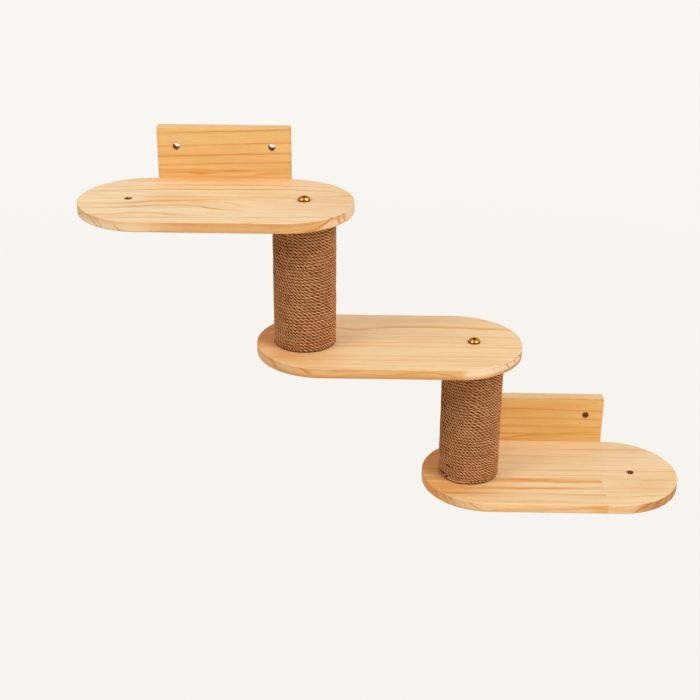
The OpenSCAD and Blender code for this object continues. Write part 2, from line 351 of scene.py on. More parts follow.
def bold_lines(board, ring):
    """The lines of the face, with those of the two boards that meet in a finger joint."""
    look = board.look
    lines = darkest(board, ring, board.size_mm, look["lines"])
    if "joint" in look:
        joint_along, joint_across = look["joint"]
        front = board.over.between(joint_across - 0.5, joint_across + 0.5)
        right = board.along.between(joint_along - 0.5, joint_along + 0.5)
        left_lines = darkest(board, ring, board.size_mm, look["lines_left"])
        right_lines = darkest(board, ring, board.size_mm, look["lines_right"])
        lines = lines.at_least((left_lines * (1 - right) + right_lines * right) * front)
    patchy = board.grain(75, 14).between(0.30, 0.62, 0.78, 1.12)
    streaks = board.grain(110, 1.5).between(0.36, 0.60, 1.12, 0.62)
    return lines * patchy * streaks


# %% [markdown]
# A sawtooth wave of the ring coordinate adds the faint rings between the bold ones. On
# the sawn ends they show evenly, and on the faces here more and there less. On the rims,
# the bold lines have tables of their own, which go by depth, because a line that was
# traced on the face is only roughly known where it comes out at the edge.

# %% The faint rings, and the lines on a rim
SHELF_THICKNESS_MM = 15


def faint_rings(board, ring):
    """The rings between the bold lines: a slow rise and a quick fall, spacing mm apart."""
    look = board.look
    place = board.finish.vector(board.seed, board.over / 24, board.depth / 24)
    tooth = (ring / look.get("spacing", 5.2) + board.finish.noise(place) * 2.5).part()
    thin = tooth.between(0.35, 0.93) * tooth.between(0.93, 1.0, 1.0, 0.0)
    shown = board.grain(130, 9).between(0.34, 0.68, 0.05, look["thin"]) * (1 - board.sawn)
    return thin * (shown + board.sawn * 0.25)


def with_rim_lines(board, late_wood, ripple):
    """Late wood with the rim's own lines, which are alone near the two ends."""
    from_left, from_right = board.look["own_rim"]
    own = board.along.between(from_left + 15, from_left) + board.along.between(from_right, from_right + 4)
    size_mm = (board.size_mm[0], SHELF_THICKNESS_MM)
    lines = darkest(board, board.depth + ripple * 0.5, size_mm, board.look["rim_lines"])
    return (late_wood * (1 - own * board.rim * 0.85)).at_least(lines * board.rim)


# %% [markdown]
# Early wood is pale, with slow clouds of a second colour, and a shelf's rim has colours
# of its own: partly since end grain soaks up more of the oil, and partly painted shade,
# darker and more orange where a rim gets less light. On top come fine dark and pale
# fibres, resin canals, which are short dark dashes, and warm patches, partly where resin
# has gathered and partly painted warm light and shade from the posts and the boards.
# A wall board's upward side is paler, as painted light, and the top beside a post gets
# its painted shadow.

# %% Early wood and small marks
DARK_FIBRE = colour(206, 140, 72)
PALE_FIBRE = colour(255, 232, 196)
RESIN_CANAL = colour(150, 88, 44)
# the colour of the warm patches, partly resin and partly painted warm light and shade
RESIN_AND_BOUNCE = colour(232, 166, 88)
AMBER = colour(232, 170, 84)
# the warm tint of the painted shadow beside a post
PAINTED_SHADE_TINT = colour(240, 194, 132)


def early_wood(board, early):
    """The pale wood between the rings."""
    finish, look = board.finish, board.look
    wood = finish.mix(early, look["blush"], board.grain(140, 34, detail=2.0).between(0.40, 0.66))
    # painted light: the side that looks up is paler, where more light falls
    if "upper" in look:
        wood = finish.mix(wood, look["upper"], board.upward)
    # a rim's colours are partly end grain that soaks up more oil and partly painted shade, darker and more
    # orange where the rim gets less light
    if "rim" in look:
        left, left_mm, front, right_mm, right = look["rim"]
        rim_wood = finish.mix(left, front, board.along.between(*left_mm))
        rim_wood = finish.mix(rim_wood, right, board.along.between(*right_mm))
        wood = finish.mix(wood, rim_wood, board.rim)
    return wood


def with_marks(board, wood, fibres, canals):
    """Wood with its fibres, its resin canals, its warm patches of resin and painted light, and the painted
    shadow beside a post.
    """
    finish, look = board.finish, board.look
    wood = finish.mix(wood, DARK_FIBRE, fibres.between(0.55, 0.80, 0.0, 0.30))
    wood = finish.mix(wood, PALE_FIBRE, fibres.between(0.46, 0.25, 0.0, 0.25))
    wood = finish.mix(wood, RESIN_CANAL, canals.between(0.72, 0.80, 0.0, 0.38) * (1 - board.sawn))
    # warm patches, partly resin and partly painted: warm light thrown from the posts and the boards, and
    # shade near them
    for at, reach_along, down, reach_down, share in look["resin_and_painted_bounce"]:
        spread = ((board.along - at) / reach_along) ** 2 + ((board.over - down) / reach_down) ** 2
        wood = finish.mix(wood, look.get("resin", RESIN_AND_BOUNCE), (spread * -1.0).exp() * share)
    if "amber" in look:
        first, last = look["amber"]
        amber = board.along.between(first, last - 5) * board.along.between(last, last + 0.5, 1.0, 0.0)
        wood = finish.mix(wood, AMBER, amber * board.rim * 0.7)
    # painted shade: the post and the shelf above cast a warm shadow on the top beside the post
    if "painted_shade_span" in look:
        shaded = board.along.between(*look["painted_shade_span"]) * board.over.between(132, 96) * board.upward
        wood = finish.mix(wood, PAINTED_SHADE_TINT, shaded, "MULTIPLY")
    return wood


# %% [markdown]
# Late wood is a tint that multiplies the early wood, because a mixture with brown would
# turn the fine lines pink. Only on the sawn ends, where it is dense and dull, some brown
# is mixed in. Inside the drilled holes the wood is torn and rough, and darker: partly
# torn end grain and partly painted shade.

# %% The pine of one board
SAWN_LATE_WOOD = colour(180, 112, 58)
PINE_COAT = 0.04


def bored(board, wood):
    """Wood with the insides of the board's drilled holes, darker as torn grain and painted shade, and how
    much of them a place is.
    """
    drilled = 0.0
    for at, down, radius in board.look.get("holes", ()):
        reach = ((board.along - at) ** 2 + (board.over - down) ** 2) ** 0.5
        drilled = reach.between(radius + 0.6, radius + 0.2) + drilled
    if "holes" in board.look:
        # the holes' walls: torn end grain and painted shade inside the hole
        torn = board.grain(2.6, 2.6, detail=0.0).between(0.46, 0.60)
        wood = board.finish.mix(wood, board.finish.mix(*board.look["bore"], torn), drilled * 0.95)
        board.finish.surface(Coat_Weight=(1 - drilled) * PINE_COAT)
    return wood, drilled


def pine(name, node, across, into, size_mm, early, late, **look):
    """Solid pine for one board: early is its early wood and late the tint of its late wood.

    look has
    lines: the bold lines, each as (mm of fade, then points) for growth_line
    blush: a second early wood, in clouds
    slope, thin: the rings' slant into the board, and the faint rings' greatest strength
    resin_and_painted_bounce: warm patches as (mm along, reach, mm across, reach, share), partly resin and
    partly painted warm light and shade
    seed: another number gives another tree
    and it may have
    joint: a finger joint as (mm along, mm across), with lines_left and lines_right of it
    rise, spacing: the faint rings' slant along the board, and how far in mm they are apart
    ripple, wander: how far in mm the rings stray, on a short and on a long way
    rim: a shelf's rim's early wood, partly painted shade, as (left, (from, to), front, (from, to), right)
    rim_lines, own_rim: the rim's lines by depth, and the (left, right) mm along, beyond
        which the rim shows no others
    upper: the early wood of the side that looks up, paler as painted light
    resin: the colour of its warm patches, partly resin and partly painted warm light
    amber: the (from, to) mm along in which the rim is full of resin
    painted_shade_span: the (from, to) mm along between which the top gets the painted shadow of the post,
    darker and warmer
    holes, bore: drilled holes as (mm along, mm across, mm radius), and two colours inside, torn wood and
    painted shade
    """
    finish = Finish(name, Coat_Weight=PINE_COAT, Coat_Roughness=0.5, Specular_IOR_Level=0.35)
    board = Board(finish, node, across, into, size_mm, look)
    ripple = (board.grain(38, 16) - 0.5) * look.get("ripple", 2.8)
    wander = (board.grain(170, 42) - 0.5) * look.get("wander", 14.0)
    straight = board.over - board.depth * look["slope"] + ripple
    ring = straight + board.along * look.get("rise", 0.0) + wander

    late_wood = bold_lines(board, straight) * (1 + board.sawn * 0.5)
    late_wood = late_wood.at_least(faint_rings(board, ring)).at_most(1.0)
    if "rim" in look:
        late_wood = with_rim_lines(board, late_wood, ripple)
    wood = finish.mix(early_wood(board, early), late, late_wood, "MULTIPLY")
    wood = finish.mix(wood, SAWN_LATE_WOOD, late_wood * board.sawn * 0.9)
    fibres, canals = board.grain(26, 0.55, detail=2.0), board.grain(3.2, 0.34, detail=0.0)
    wood, drilled = bored(board, with_marks(board, wood, fibres, canals))

    gloss = fibres * 0.10 + late_wood * 0.05 + 0.46 + board.sawn * 0.15 + drilled * 0.5
    finish.surface(Base_Color=wood, Roughness=gloss)
    finish.bumps(fibres * 0.5 + late_wood * 0.6 - canals * 0.2, 0.06 * MM, strength=0.8)
    return finish.material


# %% [markdown]
# The tables of the lines come next, one for each board. A line is the millimetres over
# which it fades in, and then its points.

# %% The shelves' growth lines
TOP_LINES = (
    (5, (0, 12, 0.24), (120, 9, 0.37), (380, 6, 0.37)),
    (6, (0, 22, 0.37), (140, 17, 0.43), (380, 15, 0.37)),
    (7, (0, 50, 0.61), (60, 43, 0.61), (100, 37, 0.61), (150, 34, 0.85), (280, 34, 0.73), (380, 40, 0.37)),
    (7, (0, 67, 0.43), (60, 60, 0.73), (110, 55, 0.98), (200, 53, 1), (300, 51, 1), (380, 62, 0.49)),
    (4, (0, 78, 0.61), (60, 85, 0.37), (95, 90, 0)),
    (6, (60, 74, 0), (120, 72, 0.35), (300, 71, 0.43), (340, 78, 0.7), (358, 75, 1), (380, 73, 1)),
    (9, (84, 94, 0), (100, 89, 0.85), (130, 87, 1), (165, 87, 0.73), (250, 86, 0.3), (380, 84, 0.37)),
    (5, (0, 98, 0.49), (40, 97, 0.49), (80, 96, 0.37), (120, 94, 0)),
    (11, (0, 119, 0.49), (60, 118, 0.73), (85, 113, 1), (105, 106, 1), (140, 103, 1), (195, 97, 0.61),
     (250, 95, 0)),
    (4, (150, 109, 0), (165, 109, 0.73), (200, 106, 0.61), (222, 117, 0.61), (240, 118, 0)),
    (8, (0, 137, 0.49), (60, 134, 0.98), (95, 127, 1), (130, 123, 0.85), (165, 124, 0.85), (185, 134, 0.98),
     (225, 142, 0.49), (260, 143, 0)),
    (3, (240, 104, 0), (300, 103, 0.49), (380, 101, 0.61)),
    (8, (0, 166, 0.37), (55, 163, 0.73), (75, 157, 0.85), (110, 154, 0.61), (140, 162, 0.85), (165, 165, 0)),
    (3, (0, 178, 0.61), (100, 174, 0.85), (200, 170, 1), (345, 163, 1), (380, 160, 0.98)),
    (6, (180, 193, 0), (250, 188, 0.5), (310, 183, 0.6), (350, 176, 0.3)),
    (5, (0, 192, 0.85), (60, 190, 0.73), (140, 188, 0.24)),
)
MIDDLE_LINES = (
    (4, (0, 18, 0.25), (380, 16, 0.25)),
    (4, (0, 31, 0.2), (380, 28, 0.25)),
    (11, (0, 62, 0.56), (60, 58, 0.56), (110, 52, 0.78), (140, 58, 1), (165, 53, 0.9), (190, 47, 0.9),
     (280, 46, 1), (330, 49, 1), (380, 52, 0.67)),
    (4, (60, 81, 0.56), (150, 80, 0.56), (175, 80, 0)),
    (5, (0, 92, 0.67), (60, 88, 0.45), (170, 86, 0.22), (210, 79, 0.5), (380, 80, 0.56)),
    (4, (0, 103, 0.45), (200, 100, 0.56), (380, 99, 0.34)),
    (5, (0, 118, 0.56), (110, 114, 0.67), (240, 112, 0.56), (380, 114, 0.56)),
    (3, (288, 130, 0), (297, 130, 0.9), (316, 131, 0.45), (326, 131, 0)),
    (5, (0, 158, 0.45), (110, 149, 0.45), (240, 145, 0.56), (340, 145, 0.56), (380, 146, 0.45)),
    (6, (0, 156, 0.56), (30, 155, 0.9), (65, 152, 0.67), (80, 152, 0)),
    (4, (60, 160, 0), (85, 160, 0.78), (110, 159, 0.67), (240, 160, 0.45)),
    (3, (205, 176, 0), (225, 176, 0.56), (250, 174, 0.45), (265, 174, 0)),
    (4, (0, 176, 0.34), (150, 175, 0.39), (205, 177, 0.34), (380, 168, 0.45)),
    (5, (0, 186, 0.6), (90, 188, 0.7), (200, 190, 0.3)),
)
BOTTOM_LINES = (
    (5, (0, 28, 0.4), (380, 27, 0.4)),
    (5, (0, 50, 0.35), (380, 51, 0.35)),
    (4, (0, 74, 0.3), (145, 73, 0.5), (180, 74, 0.5), (230, 74, 0.3), (380, 75, 0.35)),
    (5, (0, 94, 0.5), (230, 92, 0.5), (380, 92, 0.6)),
    (4, (0, 108, 0.4), (265, 107, 0.4), (380, 108, 0.3)),
)
BOTTOM_LEFT_LINES = (
    (18, (0, 124, 1), (50, 126, 1), (110, 126, 1), (150, 126, 1), (265, 127, 1)),
    (8, (0, 136, 1), (28, 137, 0.9), (60, 138, 0)),
    (10, (0, 147, 1), (100, 148, 1), (265, 146, 0.85)),
    (9, (0, 163, 0.95), (60, 164, 0.95), (120, 163, 0.7), (265, 165, 0.7)),
    (3, (0, 173, 0.55), (120, 170, 0.46), (265, 169, 0.55)),
    (4, (0, 187, 0.46), (140, 184, 0.46), (265, 188, 0.37)),
)
BOTTOM_RIGHT_LINES = (
    (5, (265, 118, 0.22), (320, 115, 0.33), (330, 119, 0.66), (380, 117, 0.55)),
    (4, (265, 143, 0.33), (380, 141, 0.39)),
    (4, (265, 154, 0.33), (380, 151, 0.39)),
    (5, (265, 169, 0.44), (310, 166, 0.55), (380, 158, 0.66)),
    (4, (265, 186, 0.33), (380, 178, 0.44)),
)
TOP_RIM_LINES = (
    (5, (308, 19, 0), (317, 15, 0.8), (331, 12, 0.9), (349, 3, 1), (353, 2, 0.8), (356, 0, 0)),
    (3, (0, 14, 0.5), (5, 12, 0.7), (11, 7, 0.7), (16, 4, 0)),
    (4, (18, 0, 0), (24, 1, 0.6), (33, 7, 0.6), (42, 15, 0.5)),
    (4, (30, 0, 0), (35, 1, 0.7), (43, 9, 0.6), (48, 16, 0.5)),
    (4, (58, 4, 0), (65, 8, 0.7), (70, 13, 0.9), (80, 14, 0.5), (90, 15, 0)),
    (2, (90, 3, 0), (140, 2.5, 0.5), (200, 4, 0.4), (300, 3, 0.3), (315, 3, 0)),
    (2, (95, 12, 0), (150, 11, 0.3), (200, 12, 0.3), (260, 11, 0)),
    (30, (353, -30, 0.4), (357, 0, 0.6), (361, 16, 0.6), (363, 40, 0)),
    (50, (362, -60, 0.4), (366, 0, 0.6), (367, 16, 0.6), (370, 60, 0)),
)
MIDDLE_RIM_LINES = (
    (9, (10, -4, 0), (21, 0, 1), (28, 7, 1), (34, 15, 1)),
    (5, (56, 9, 0), (59, 13, 1), (63, 15, 0.7)),
    (8, (58, -2, 0), (62, 0, 1), (70, 4, 1), (79, 8, 1), (84, 9, 0)),
    (3, (100, 15, 0), (115, 14, 0.5), (190, 9, 0.6), (212, 6, 0.7), (232, 4.5, 0.7), (252, 5, 0.7),
     (273, 8, 0.7), (290, 14, 0.6), (296, 17, 0)),
    (4, (190, 13, 0.3), (215, 10, 0.5), (240, 9, 0.5), (265, 13, 0.5), (280, 16, 0)),
    (5, (326, -4, 0), (331, 1, 0.4), (337, 13, 0.4), (340, 18, 0)),
    (8, (346, -6, 0.5), (350, 0, 0.8), (354, 7, 0.7), (358, 15, 0.5)),
    (20, (360, -20, 0.4), (363, 0, 0.5), (366, 15, 0.4), (369, 40, 0)),
    (20, (370, -20, 0.4), (373, 4, 0.6), (378, 20, 0.4)),
)
BOTTOM_RIM_LINES = (
    (9, (0, -4, 0.5), (6, 2, 0.9), (9, 14, 0.9), (13, 24, 0)),
    (9, (14, -4, 0.6), (18, 3, 1), (23, 15, 1), (25, 22, 0)),
    (6, (24, -3, 0.5), (31, 4, 1), (36, 15, 1), (38, 22, 0)),
    (5, (32, -2, 0), (35, 0, 0.6), (42, 8, 0.6), (47, 15, 0.5)),
    (3, (58, -2, 0), (63, 0, 0.6), (72, 7, 0.7), (87, 13, 0.8), (108, 11, 0.7), (120, 13, 0.6),
     (150, 14, 0.4)),
    (4, (130, 7, 0), (165, 7, 0.35), (190, 9.5, 0.5), (223, 7.5, 0.7), (245, 6, 0.9),
     (264.5, 7, 0.9), (265, 7, 0)),
    (6, (290, 19, 0), (303, 14, 0.7), (309, 10, 0.9), (330, 1, 0.9), (335, -3, 0)),
    (6, (308, 18, 0), (314, 14, 0.5), (328, 2, 0.5), (333, -3, 0)),
    (7, (326, 20, 0), (330, 14, 0.7), (341, 2, 0.7), (344, -3, 0)),
    (8, (334, 20, 0), (338, 14, 1), (347, 1, 1), (349, -3, 0)),
    (9, (347, 20, 0), (350, 14, 0.7), (358, 1, 0.7), (360, -4, 0)),
    (12, (359, 22, 0), (362, 13, 1), (370, 1, 1), (374, -8, 0.6)),
)
print("lines on the rims:", len(TOP_RIM_LINES), len(MIDDLE_RIM_LINES), len(BOTTOM_RIM_LINES))
print("lines on the shelves:", len(TOP_LINES), len(MIDDLE_LINES),
      len(BOTTOM_LINES) + len(BOTTOM_LEFT_LINES) + len(BOTTOM_RIGHT_LINES))

# %% The wall boards' growth lines
TOP_BOARD_LINES = (
    (3, (0, 9, 0.7), (60, 7, 0.7), (110, 5, 0.8), (145, 4, 1), (190, 2, 0.8)),
    (3, (0, 28, 0.8), (60, 26, 0.7), (120, 24, 0.8), (135, 23, 0.9), (190, 21, 0.8)),
    (3.5, (0, 43, 0.8), (100, 39.5, 0.8), (190, 37, 0.9)),
    (3, (0, 56, 0.7), (80, 53, 0.7), (150, 51, 0.6), (190, 50, 0.8)),
    (3, (0, 63, 0.9), (60, 62, 0.8), (85, 63.5, 0.6), (105, 63.5, 1), (150, 62, 0.5), (190, 61, 0.8)),
    (4, (0, 67, 0.6), (45, 66, 0.8), (60, 67.5, 1), (80, 66, 0.7), (95, 64.5, 0.4)),
    (3, (115, 71, 0), (150, 68, 0.9), (190, 67, 0.9)),
    (2.5, (0, 71.5, 0.4), (80, 72, 0.5), (190, 72, 0.5)),
    (3, (0, 81, 0.6), (190, 80, 0.7)),
)
BOTTOM_BOARD_LINES = (
    (2.5, (0, 2, 0.88), (100, 0.8, 0.88), (150, 1, 1), (190, 2, 0.99)),
    (3, (0, 20, 0.88), (80, 18.5, 0.99), (140, 21, 0.77), (190, 22, 0.99)),
    (3, (0, 37, 0.88), (60, 35, 0.88), (110, 35, 0.66), (190, 36, 0.99)),
    (4, (0, 49, 0.99), (60, 49, 0.88), (110, 49.5, 0.55), (190, 50, 0.77)),
    (3, (0, 62, 0.99), (60, 62, 0.88), (75, 62.5, 0.44)),
    (4, (0, 71, 0.66), (45, 70, 0.77), (75, 64.5, 1), (95, 63, 1), (115, 63.5, 0.55), (150, 60, 0.88),
     (190, 59, 0.33)),
    (2.5, (40, 73, 0.66), (100, 69, 0.44), (130, 65, 0.33), (150, 63, 0)),
    (3, (150, 68, 0.22), (190, 68, 0.66)),
    (3, (0, 81, 0.66), (190, 80, 0.77)),
)
print("lines on the wall boards:", len(TOP_BOARD_LINES), len(BOTTOM_BOARD_LINES))

# %% [markdown]
# A node of the frame keeps its shape and only gets a material, so its holes and edges
# stay where the joinery has them. Each board has its own wood: its colours, its lines
# and the way its rings lie. A shelf lies flat, so its way across starts at the rear edge
# and its way in at the top face. A wall board stands, and they start at its upper edge
# and at its front.

# %% Dress the nodes
def dress(node, material):
    """Puts a material on a node of the frame."""
    for place in nodes[node].material_slots:
        place.material = material


# %% The shelves and the wall boards
SHELF = dict(across="y+", into="z+", size_mm=(380, 190))
BOARD = dict(across="z+", into="y-", size_mm=(190, 89))

SPARE_LEFT, SPARE_RIGHT = ((69, 95, 5.5),), ((311, 95, 5.5),)
WALL_HOLES = ((27, 28, 5.0), (163, 28, 5.0))
# colours inside the holes, partly torn grain and partly painted shade
DARK_BORE_AND_SHADE = (colour(112, 64, 26), colour(222, 164, 104))
LIGHT_BORE_AND_SHADE = (colour(172, 104, 48), colour(244, 196, 138))

looks = {
    "top_shelf": dict(
        SHELF, early=colour(255, 227, 182), late=colour(233, 184, 108), blush=colour(249, 216, 169),
        lines=TOP_LINES, slope=1.3, seed=1, thin=0.55,
        rim=(colour(255, 220, 174), (70, 170), colour(235, 178, 112), (326, 352), colour(252, 219, 178)),
        rim_lines=TOP_RIM_LINES, own_rim=(100, 352),
        resin_and_painted_bounce=((215, 65, 30, 5, 0.45), (125, 60, 96, 12, 0.2), (365, 70, 95, 90, 0.3),
              (190, 100, 6, 16, 0.65)),
        resin=colour(230, 167, 82),
        holes=SPARE_LEFT, bore=DARK_BORE_AND_SHADE,
    ),
    "middle_shelf": dict(
        SHELF, early=colour(254, 217, 165), late=colour(234, 188, 124), blush=colour(250, 210, 157),
        lines=MIDDLE_LINES, slope=0.8, seed=2, wander=8.0, spacing=6.0, thin=0.48,
        rim=(colour(244, 196, 146), (20, 92), colour(237, 186, 116), (286, 300), colour(254, 222, 184)),
        rim_lines=MIDDLE_RIM_LINES, own_rim=(100, 305),
        resin_and_painted_bounce=((60, 30, 60, 50, 0.2), (45, 60, 144, 30, 0.65), (150, 60, 96, 16, 0.15)),
        painted_shade_span=(78, 30),
    ),
    "bottom_shelf": dict(
        SHELF, early=colour(254, 223, 175), late=colour(231, 176, 94), blush=colour(250, 214, 163),
        lines=BOTTOM_LINES, joint=(265, 115),
        lines_left=BOTTOM_LEFT_LINES, lines_right=BOTTOM_RIGHT_LINES,
        slope=0.65, seed=3, wander=7.0, spacing=6.5, thin=0.4,
        rim=(colour(238, 190, 138), (30, 100), colour(252, 206, 144), (288, 330), colour(208, 153, 95)),
        rim_lines=BOTTOM_RIM_LINES, own_rim=(110, 300),
        resin=colour(230, 160, 80),
        resin_and_painted_bounce=((325, 55, 138, 22, 0.25), (28, 75, 146, 24, 0.78), (5, 22, 140, 18, 0.6)),
        amber=(225, 264.5), painted_shade_span=(90, 40),
        holes=SPARE_RIGHT, bore=DARK_BORE_AND_SHADE,
    ),
    "top_wall_board": dict(
        BOARD, early=colour(243, 197, 129), late=colour(235, 188, 102), blush=colour(239, 190, 119),
        lines=TOP_BOARD_LINES, slope=0.9, rise=0.034, seed=4, wander=3.0, ripple=1.2, spacing=4.0, thin=0.22,
        resin_and_painted_bounce=((60, 20, 66, 3.0, 0.6), (112, 18, 62, 1.4, 0.4), (95, 120, 87, 9, 0.65)),
        resin=colour(224, 158, 56),
        holes=WALL_HOLES, bore=LIGHT_BORE_AND_SHADE,
    ),
    "bottom_wall_board": dict(
        BOARD, early=colour(248, 202, 125), late=colour(238, 190, 108), blush=colour(244, 193, 112),
        lines=BOTTOM_BOARD_LINES, slope=0.9, rise=-0.012, seed=5, wander=3.5, ripple=1.2, spacing=4.2,
        thin=0.22, resin_and_painted_bounce=((90, 22, 64, 2.5, 0.5), (120, 90, 15, 12, 0.28), (110, 90, 80, 9, 0.12)),
        resin=colour(220, 148, 56), upper=colour(255, 216, 162),
        holes=WALL_HOLES, bore=LIGHT_BORE_AND_SHADE,
    ),
}
for node, look in looks.items():
    material = pine(node + "_pine", node, **look)
    dress(node, material)
    print(node, "has", len(material.node_tree.nodes), "nodes in its material")

# %% [markdown]
# ## Laid rope
#
# The posts are wound with thin brown rope: three strands laid round each other, so each
# course shows a row of short leaning strands with dark gaps between. The pattern of a
# bump map would stay flat at the post's outline, and the gaps are deep, so the rope is a
# mesh. Its section has three round lobes, which turn as the rope runs, once in about
# 17 mm. One unbroken rope goes round each post 41 times. A course lies level and climbs
# to the next in one short stretch, as the winder pushes it over, so that both ends of
# the winding lie flat against the shelves.
#
# Real winding is never quite even. Sums of a few sine waves, with seeded phases, move
# the rope in and out and up and down by fractions of a millimetre, and speed the lay up
# and slow it down, so that the strands of neighbouring courses drift past each other.

# %% The rope's section
ROPE_D = 4.7 * MM
TURN_MM = 268
GIRTH_MM = 14.8
TWISTS_PER_TURN = 16
RINGS_PER_TURN = 150
STRANDS = 3
POINTS_PER_STRAND = 5
STRAND_OFFSET = 0.447
STRAND_RADIUS = 0.553


def section():
    """The rope's outline: its angles and its radii, as a share of the rope's radius."""
    angles = np.arange(STRANDS * POINTS_PER_STRAND) * 2 * math.pi / (STRANDS * POINTS_PER_STRAND)
    lobe = 2 * math.pi / STRANDS
    from_crest = (angles + lobe / 2) % lobe - lobe / 2
    reach = STRAND_OFFSET * np.cos(from_crest)
    reach = reach + np.sqrt(STRAND_RADIUS ** 2 - (STRAND_OFFSET * np.sin(from_crest)) ** 2)
    return angles + lobe / 2 / POINTS_PER_STRAND, reach


angles, reach = section()
print("rope section:", len(angles), "points, crest", round(reach.max(), 2), "groove", round(reach.min(), 2))

# %% Small irregularities
def unevenness(random, turn_angle, level, waves=7, around=4.0, upwards=1.1):
    """A smooth, seeded field round the post, about -1 to 1."""
    total = np.zeros_like(turn_angle)
    for _ in range(waves):
        across = random.integers(1, int(around * 3)) * random.choice((-1, 1))
        up = random.uniform(-upwards, upwards)
        total = total + np.sin(across * turn_angle + up * level + random.uniform(0, 2 * math.pi))
    return total / math.sqrt(waves)


# %% The courses, and how unevenly they lie
INWARDS, UPWARDS = 0.16 * MM, 0.20 * MM
LAY_DRIFT = 0.7
THICKNESS_SHARE = 0.035
END_CLIMB_DEG = 16.0


def smooth_step(share):
    """0 to 1 with a soft start and a soft end."""
    share = np.clip(share, 0, 1)
    return share * share * (3 - 2 * share)


def courses_climbed(step, turns, climb_deg, end_deg):
    """How many courses up the rope is, step turns from its start."""
    share = step - np.floor(step)
    climb = np.where((step < 1) & (end_deg > 0), END_CLIMB_DEG, climb_deg) / 360
    climbed = smooth_step((share - 1 + climb) / climb)
    return np.minimum(np.floor(step) + climbed, turns - 1)


def laid_unevenly(random, step, turn, level, turns):
    """How far the rope strays inwards and upwards, its twist in radians and its thickness."""
    inwards = INWARDS * (unevenness(random, turn, level) - 1)
    upwards = UPWARDS * unevenness(random, turn, level)
    upwards = upwards * np.clip(np.minimum(level, turns - 1 - level), 0, 1)
    swing = unevenness(random, turn, level, around=2.6, upwards=0.3)
    drift = np.cumsum(random.normal(0.0, LAY_DRIFT, turns + 1))
    drift = np.interp(step, np.arange(turns + 1), drift)
    twist = -2 * math.pi * TWISTS_PER_TURN * step + swing + drift
    size = 1 + THICKNESS_SHARE * unevenness(random, turn, level, around=8.0)
    return inwards, upwards, twist, size


# %% [markdown]
# The lower post shows where its rope begins: the first stretch is glued and pressed
# flat, so its strands hardly stand out. The rope thins to a notch where that stretch
# ends and again where the first turn does, and a few courses up, a slit opens between
# two of them at the place where they climb.

# %% The glued end
FLAT_RELIEF = 0.25
FLAT_FADE_DEG = 5
NOTCH_DEG, NOTCH_RISE, NOTCH_SHARE = 2.4, 1.2 * MM, 0.55
SECOND_NOTCH_AT_DEG = 358
SLIT_LEVEL, SLIT_REACH_LEVELS = 4.5, 1.6
SLIT_DEG, SLIT_RISE = 5.0, 2.0 * MM


def bell(way, width):
    """1 where way is 0, falling to 0 within about two widths."""
    return np.exp(-((way / width) ** 2))


def with_glued_end(step, level, upwards, size, end_deg):
    """The rope's way up and its thickness with the glued end, and how far strands stand out."""
    into = 360 * step
    relief = FLAT_RELIEF + (1 - FLAT_RELIEF) * smooth_step((into - end_deg) / FLAT_FADE_DEG)
    notch = bell(into - end_deg, NOTCH_DEG) + bell(into - SECOND_NOTCH_AT_DEG, NOTCH_DEG)
    upwards = upwards + NOTCH_RISE * notch
    size = size * (1 - NOTCH_SHARE * notch)
    from_seam = ((into % 360) + 180) % 360 - 180
    slit = bell(from_seam, SLIT_DEG) * np.sign(level - SLIT_LEVEL)
    upwards = upwards + SLIT_RISE * slit * np.exp(-np.abs(level - SLIT_LEVEL) / SLIT_REACH_LEVELS)
    return upwards, size, relief


# %% [markdown]
# Each ring of points is the rope's section, turned by the twist and set square to the
# rope. Each point also has a number called lift: 1 on a strand's crest and 0 in a
# groove, less on the side that faces the post, and falling off at the post's foot. The
# rope's finish darkens by it, as painted shade: in the grooves, where some dust also
# gathers, on the side that faces the post and at the foot.

# %% The winding
# the painted contact shadow at the post's foot: where it starts and over how much it fades
SHADED_FOOT, SHADED_FOOT_FADE = 1.2 * MM, 3.2 * MM
INNER_SIDE_LIFT, OUTER_SIDE_MORE = 0.34, 0.66


